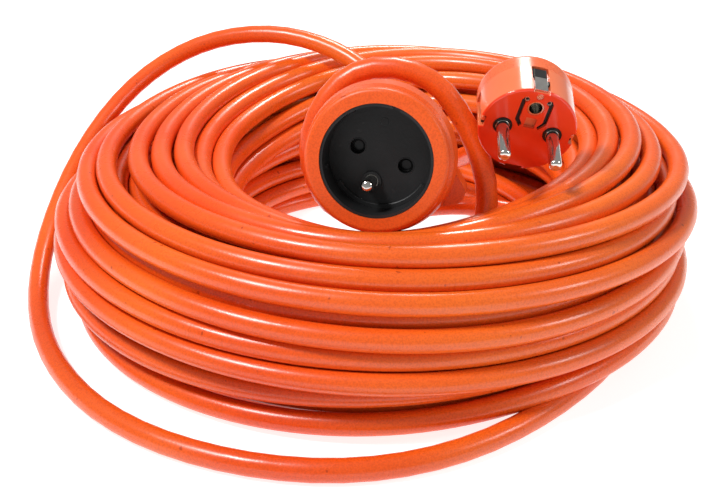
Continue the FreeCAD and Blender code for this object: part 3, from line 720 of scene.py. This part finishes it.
def plug_cap_with_painted_sheen():
    """Gloss plastic whose face is a deeper red than its paler sides; the sides' paleness is a
    painted sheen, standing in for the light the gloss reflects.
    """
    finish = Finish("plug_gloss_painted_sheen", 0.17, specular=0.5, coat=0.35)
    normal = (PLUG_FRAME.to_3x3() @ Vector((0, 0, 1)))
    shift = finish.nodes.new("ShaderNodeVectorMath")
    shift.operation = "SUBTRACT"
    shift.inputs[1].default_value = Vector(PLUG_FACE) * MM
    finish.links.new(finish.place, shift.inputs[0])
    along = finish.nodes.new("ShaderNodeVectorMath")
    along.operation = "DOT_PRODUCT"
    along.inputs[1].default_value = normal
    finish.links.new(shift.outputs["Vector"], along.inputs[0])
    # mask from the face back to the sides, where the deep red turns into the painted sheen
    edge = finish.nodes.new("ShaderNodeMapRange")
    edge.inputs["From Min"].default_value = -0.0010
    edge.inputs["From Max"].default_value = -0.0004
    finish.links.new(along.outputs["Value"], edge.inputs["Value"])
    face = finish.mix(finish.spread(finish.noise(40, 3), 0, 1), (0.80, 0.034, 0.008),
                      (0.86, 0.052, 0.011))
    # painted sheen: the sides' pale peach stands in for the light the gloss reflects
    side = finish.mix(finish.spread(finish.noise(25, 3), 0, 1), (0.80, 0.165, 0.060),
                      (0.88, 0.215, 0.085))
    finish.colour(finish.mix(edge.outputs["Result"], side, face))
    finish.rough(finish.spread(finish.noise(90, 4), 0.12, 0.24))
    finish.bump(finish.noise(700, 2), 0.00002, 0.4)
    finish.bump(finish.noise(70, 2), 0.00015, 0.25)
    return finish.material


def metal(name, colour, rough, streak=(1, 1, 14)):
    finish = Finish(name, rough, metal=1.0)
    finish.colour(finish.mix(finish.spread(finish.noise(90, 3), 0, 1), colour,
                             tuple(0.82 * part for part in colour)))
    finish.rough(finish.spread(finish.noise(260, 3, streak), rough - 0.06, rough + 0.10))
    finish.bump(finish.noise(500, 2, streak), 0.00002, 0.4)
    return finish.material


def black_plastic(name, colour, rough, pits):
    finish = Finish(name, rough, specular=0.45)
    dust = finish.ramp(finish.noise(38, 4), (0.44, colour),
                       (0.74, tuple(2.6 * part for part in colour)))
    fleck = finish.ramp(finish.noise(420, 1), (0.72, (1, 1, 1)), (0.78, (2.2, 2.1, 2.0)))
    finish.colour(finish.mix(1.0, dust, fleck, "MULTIPLY"))
    finish.rough(finish.spread(finish.noise(80, 3), rough - 0.06, rough + 0.10))
    finish.bump(finish.noise(900, 3), pits, 0.6)
    return finish.material


LOOKS = {
    "shell": soft_plastic("coupler_shell", (0.86, 0.125, 0.013), (0.78, 0.090, 0.009), 0.36, 0.40,
                          pits=0.00009),
    "cap": plug_cap_with_painted_sheen(),
    # the plug's rear is a paler peach than its face: painted sheen standing in for the light its
    # gloss reflects
    "rear": soft_plastic("plug_body_painted_sheen", (0.86, 0.175, 0.060), (0.78, 0.130, 0.040), 0.28, 0.5),
    "black": black_plastic("insert_black", (0.0085, 0.0085, 0.009), 0.42, 0.00008),
    # near-black, darker than the insert: painted shade on the shutter, the hole mouths and the
    # plug's slots, window and gaps; the pin collars share it
    "dark": black_plastic("dark_plastic", (0.0022, 0.0022, 0.0024), 0.34, 0.00004),
    "nickel": metal("nickel", (0.78, 0.75, 0.70), 0.13),
    "brass": metal("brass", (0.80, 0.55, 0.22), 0.24),
    "spring": metal("spring_steel", (0.55, 0.55, 0.56), 0.25),
    "live_core": soft_plastic("brown_core", (0.14, 0.05, 0.02), (0.10, 0.035, 0.015), 0.4, 0.4),
    "neutral_core": soft_plastic("blue_core", (0.02, 0.10, 0.42), (0.015, 0.07, 0.32), 0.4, 0.4),
    "earth_core": soft_plastic("green_core", (0.10, 0.36, 0.03), (0.30, 0.42, 0.02), 0.4, 0.4),
}
CAD_LOOKS = {
    "socket_housing": "shell", "socket_cord_grip": "shell", "plug_cord_grip": "shell",
    # the shutter takes the near-black of painted shade, darker than the insert's own black, so the
    # holes look shaded
    "socket_insert": "black", "socket_inner_cover": "black", "socket_shutter": "dark",
    "socket_live_sleeve": "brass", "socket_neutral_sleeve": "brass", "socket_earth_pin": "nickel",
    "shutter_spring": "spring", "plug_front": "cap", "plug_rear": "rear",
    "plug_live_pin": "nickel", "plug_neutral_pin": "nickel", "plug_pin_collars": "dark",
    "plug_earth_bracket": "nickel", "plug_earth_sleeve": "nickel", "plug_earth_rivet": "nickel",
    "socket_live_wire": "live_core", "socket_neutral_wire": "neutral_core",
    "socket_earth_wire": "earth_core", "plug_live_wire": "live_core",
    "plug_neutral_wire": "neutral_core", "plug_earth_wire": "earth_core",
}
for node, look in CAD_LOOKS.items():
    carried = bpy.data.objects[node]
    if not carried.material_slots:
        carried.data.materials.append(None)
    for slot in carried.material_slots:
        slot.material = LOOKS[look]

for name, look in PIECES.items():
    bpy.data.objects[name].data.materials.append(LOOKS[look])

# ---------------------------------------------------------------- stage
FLOOR_SIZE = 30
FLOOR_GLOW = 0.80  # keeps the floor white where the coil's shadow falls
WORLD_STRENGTH = 0.31

bpy.ops.mesh.primitive_plane_add(size=FLOOR_SIZE)
floor = bpy.context.object
floor.name = "floor"
paper = Finish("floor_white", 0.7, specular=0.2)
paper.colour(paper.mix(paper.spread(paper.noise(3, 2), 0, 1), (0.50, 0.50, 0.50),
                       (0.52, 0.52, 0.52)))
paper.shader.inputs["Emission Color"].default_value = (1, 1, 1, 1)
paper.shader.inputs["Emission Strength"].default_value = FLOOR_GLOW
floor.data.materials.append(paper.material)
world = bpy.data.worlds.new("world")
world.use_nodes = True
world.node_tree.nodes["Background"].inputs["Color"].default_value = (1, 1, 1, 1)
world.node_tree.nodes["Background"].inputs["Strength"].default_value = WORLD_STRENGTH
bpy.context.scene.world = world
bpy.context.scene.view_settings.view_transform = "Standard"


def area_light(name, place, size, power, target=(0, 0, 0.04)):
    data = bpy.data.lights.new(name, "AREA")
    data.size = size
    data.energy = power
    lamp = bpy.data.objects.new(name, data)
    bpy.context.collection.objects.link(lamp)
    lamp.location = place
    lamp.rotation_euler = (Vector(target) - Vector(place)).to_track_quat("-Z", "Y").to_euler()


area_light("key", (-0.50, -0.30, 0.95), 0.20, 9.6)
area_light("back", (0.10, 0.70, 0.85), 0.22, 6.2)
area_light("rim", (0.75, -0.25, 0.55), 0.20, 1.6)
